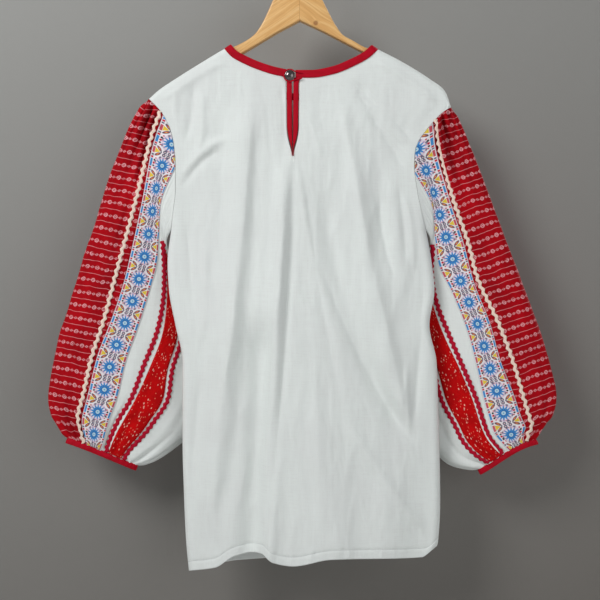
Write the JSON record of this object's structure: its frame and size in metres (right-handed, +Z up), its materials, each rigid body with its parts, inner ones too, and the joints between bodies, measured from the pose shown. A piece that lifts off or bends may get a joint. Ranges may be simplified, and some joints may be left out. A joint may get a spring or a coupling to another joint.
{
  "type": "peasant blouse on a wooden hanger",
  "caption": "Loose white blouse with full trimmed sleeves gathered at the wrists, hung on a flat wooden hanger with a wire hook.",
  "frame": {"origin": "inside top of the hook's bend, where it bears on a rod", "axes": "+Z up; +X to the right as one faces the blouse's back; the back faces -Y"},
  "size_m": [0.7111, 0.097, 0.875],
  "materials": {
    "white_cotton": "matt plain-woven cotton",
    "red_binding": "matt cotton binding and braid",
    "striped_red_print": "printed cotton",
    "flower_ribbon": "woven ribbon, slight sheen",
    "dotted_red_print": "printed cotton",
    "cream_braid": "matt braid",
    "pine": "clear varnish",
    "steel": "bright",
    "dark_metal": "polished, darkened"
  },
  "bodies": {
    "root": {"back_panel": "white_cotton", "front_panel": "white_cotton", "neck_binding": "red_binding", "slit_binding_left": "red_binding", "slit_binding_right": "red_binding", "button": "dark_metal", "button_loop": "red_binding", "hanger_wood": "pine", "hanger_hook": "steel", "left_overarm_panel": "striped_red_print", "left_underarm_panel": "white_cotton", "left_cuff_binding": "red_binding", "left_ribbon_back": "flower_ribbon", "left_ribbon_front": "flower_ribbon", "left_dotted_band_back": "dotted_red_print", "left_dotted_band_front": "dotted_red_print", "left_cream_ricrac_back": "cream_braid", "left_cream_ricrac_front": "cream_braid", "left_red_ricrac_outer_back": "red_binding", "left_red_ricrac_outer_front": "red_binding", "left_red_ricrac_inner_back": "red_binding", "left_red_ricrac_inner_front": "red_binding", "right_overarm_panel": "striped_red_print", "right_underarm_panel": "white_cotton", "right_cuff_binding": "red_binding", "right_ribbon_back": "flower_ribbon", "right_ribbon_front": "flower_ribbon", "right_dotted_band_back": "dotted_red_print", "right_dotted_band_front": "dotted_red_print", "right_cream_ricrac_back": "cream_braid", "right_cream_ricrac_front": "cream_braid", "right_red_ricrac_outer_back": "red_binding", "right_red_ricrac_outer_front": "red_binding", "right_red_ricrac_inner_back": "red_binding", "right_red_ricrac_inner_front": "red_binding"}
  },
  "joints": []
}
